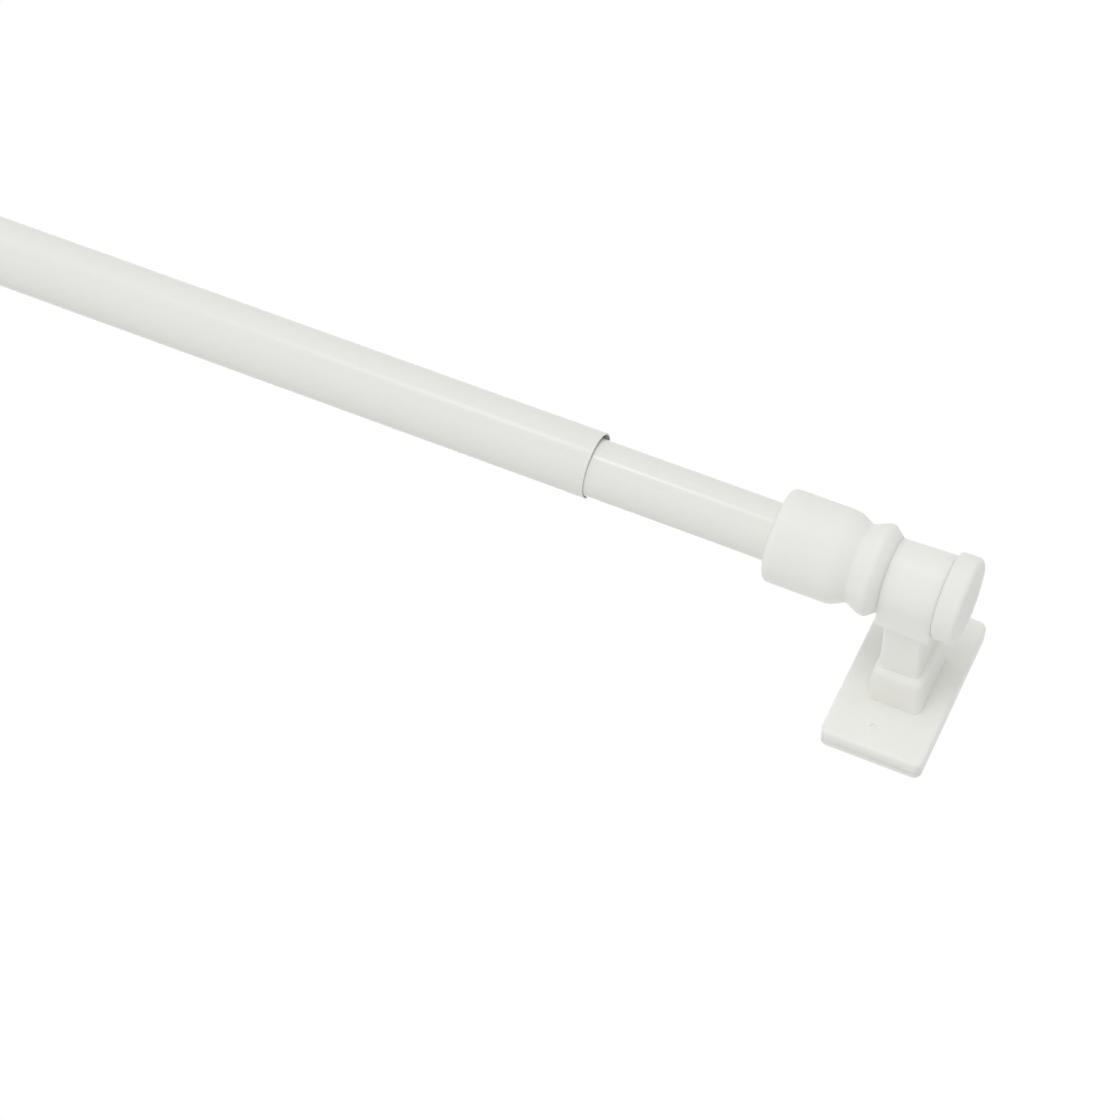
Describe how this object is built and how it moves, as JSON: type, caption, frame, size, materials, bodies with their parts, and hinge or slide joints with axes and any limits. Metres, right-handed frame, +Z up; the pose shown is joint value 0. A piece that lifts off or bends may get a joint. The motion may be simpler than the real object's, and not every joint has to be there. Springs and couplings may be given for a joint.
{
  "type": "cafe curtain rod",
  "caption": "Telescoping white cafe curtain rod whose thin tubes end in turned caps, each swivelling in an adhesive wall bracket.",
  "frame": {"origin": "middle of the left bracket's adhesive face, on the wall or window frame", "axes": "+X along the rod to the narrow tube's bracket, +Y into the wall, +Z up as mounted"},
  "size_m": [0.331, 0.0361, 0.0311],
  "materials": {
    "tube_lacquer": "glossy white lacquer on thin rolled steel",
    "cap_plastic": "satin moulded white plastic",
    "button_plastic": "satin moulded white plastic",
    "bracket_plastic": "satin moulded white plastic",
    "glide_plastic": "plain moulded plastic",
    "foam_tape": "double-sided foam tape, cut edge"
  },
  "bodies": {
    "left_mount": {"left_bracket": "bracket_plastic", "left_pad": "foam_tape"},
    "wide_half": {"wide_tube": "tube_lacquer", "left_cap": "cap_plastic", "left_button": "button_plastic"},
    "glide": {"glide_plug": "glide_plastic"},
    "narrow_half": {"narrow_tube": "tube_lacquer", "right_cap": "cap_plastic", "right_button": "button_plastic"},
    "right_mount": {"right_bracket": "bracket_plastic", "right_pad": "foam_tape"}
  },
  "joints": [
    {"name": "left_swivel", "type": "hinge", "parent": "left_mount", "child": "wide_half", "pos_m": [0, -0.0285, 0], "axis": [1, 0, 0], "continuous": true},
    {"name": "extension", "type": "slide", "parent": "wide_half", "child": "glide", "axis": [1, 0, 0], "range_m": [-0.0307, 0.1693]},
    {"name": "tube_twist", "type": "hinge", "parent": "glide", "child": "narrow_half", "pos_m": [0.05395, -0.0285, -0.00035], "axis": [1, 0, 0], "continuous": true},
    {"name": "right_swivel", "type": "hinge", "parent": "narrow_half", "child": "right_mount", "pos_m": [0.3138, -0.0285, -0.00035], "axis": [1, 0, 0], "continuous": true}
  ]
}
